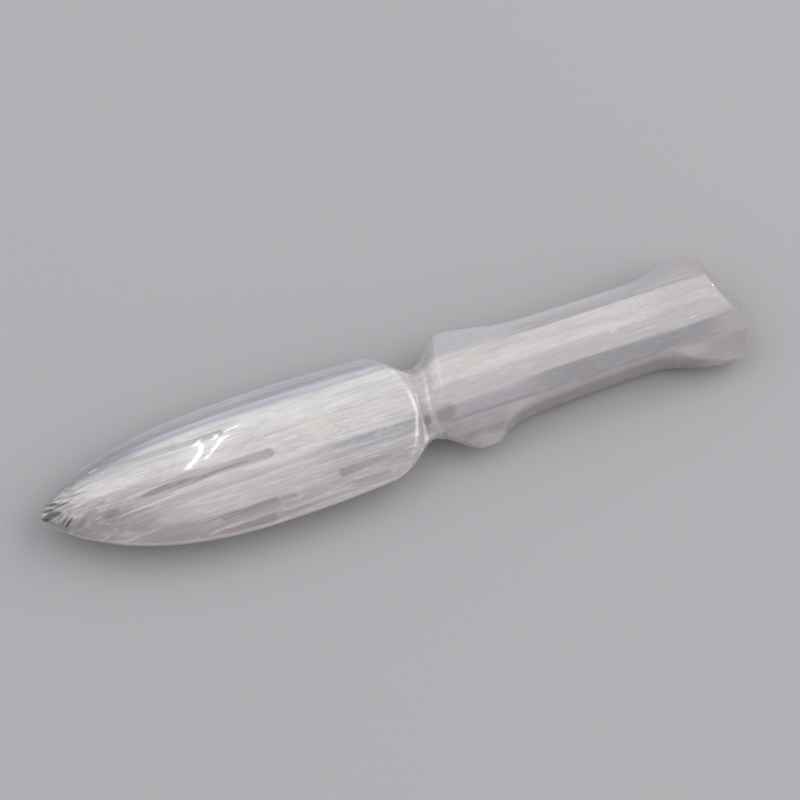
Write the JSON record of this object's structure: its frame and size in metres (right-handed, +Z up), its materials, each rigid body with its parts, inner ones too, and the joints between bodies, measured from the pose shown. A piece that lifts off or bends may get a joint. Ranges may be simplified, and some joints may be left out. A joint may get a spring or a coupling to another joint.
{
  "type": "carved selenite knife",
  "caption": "Knife carved from one bar of satin-spar selenite: leaf blade, grooved neck, guard, waisted handle and faceted pommel; lies flat.",
  "frame": {"origin": "middle of the knife's box, on the surface that it lies on", "axes": "+X from the blade's tip to the pommel, along the fibres; +Y across the blade; +Z up, out of the knife's crowned top"},
  "size_m": [0.2, 0.0394, 0.0159],
  "materials": {
    "satin_spar": "polished, milky and silky along the fibres, translucent at the edges"
  },
  "bodies": {
    "root": {"knife": "satin_spar"}
  },
  "joints": []
}
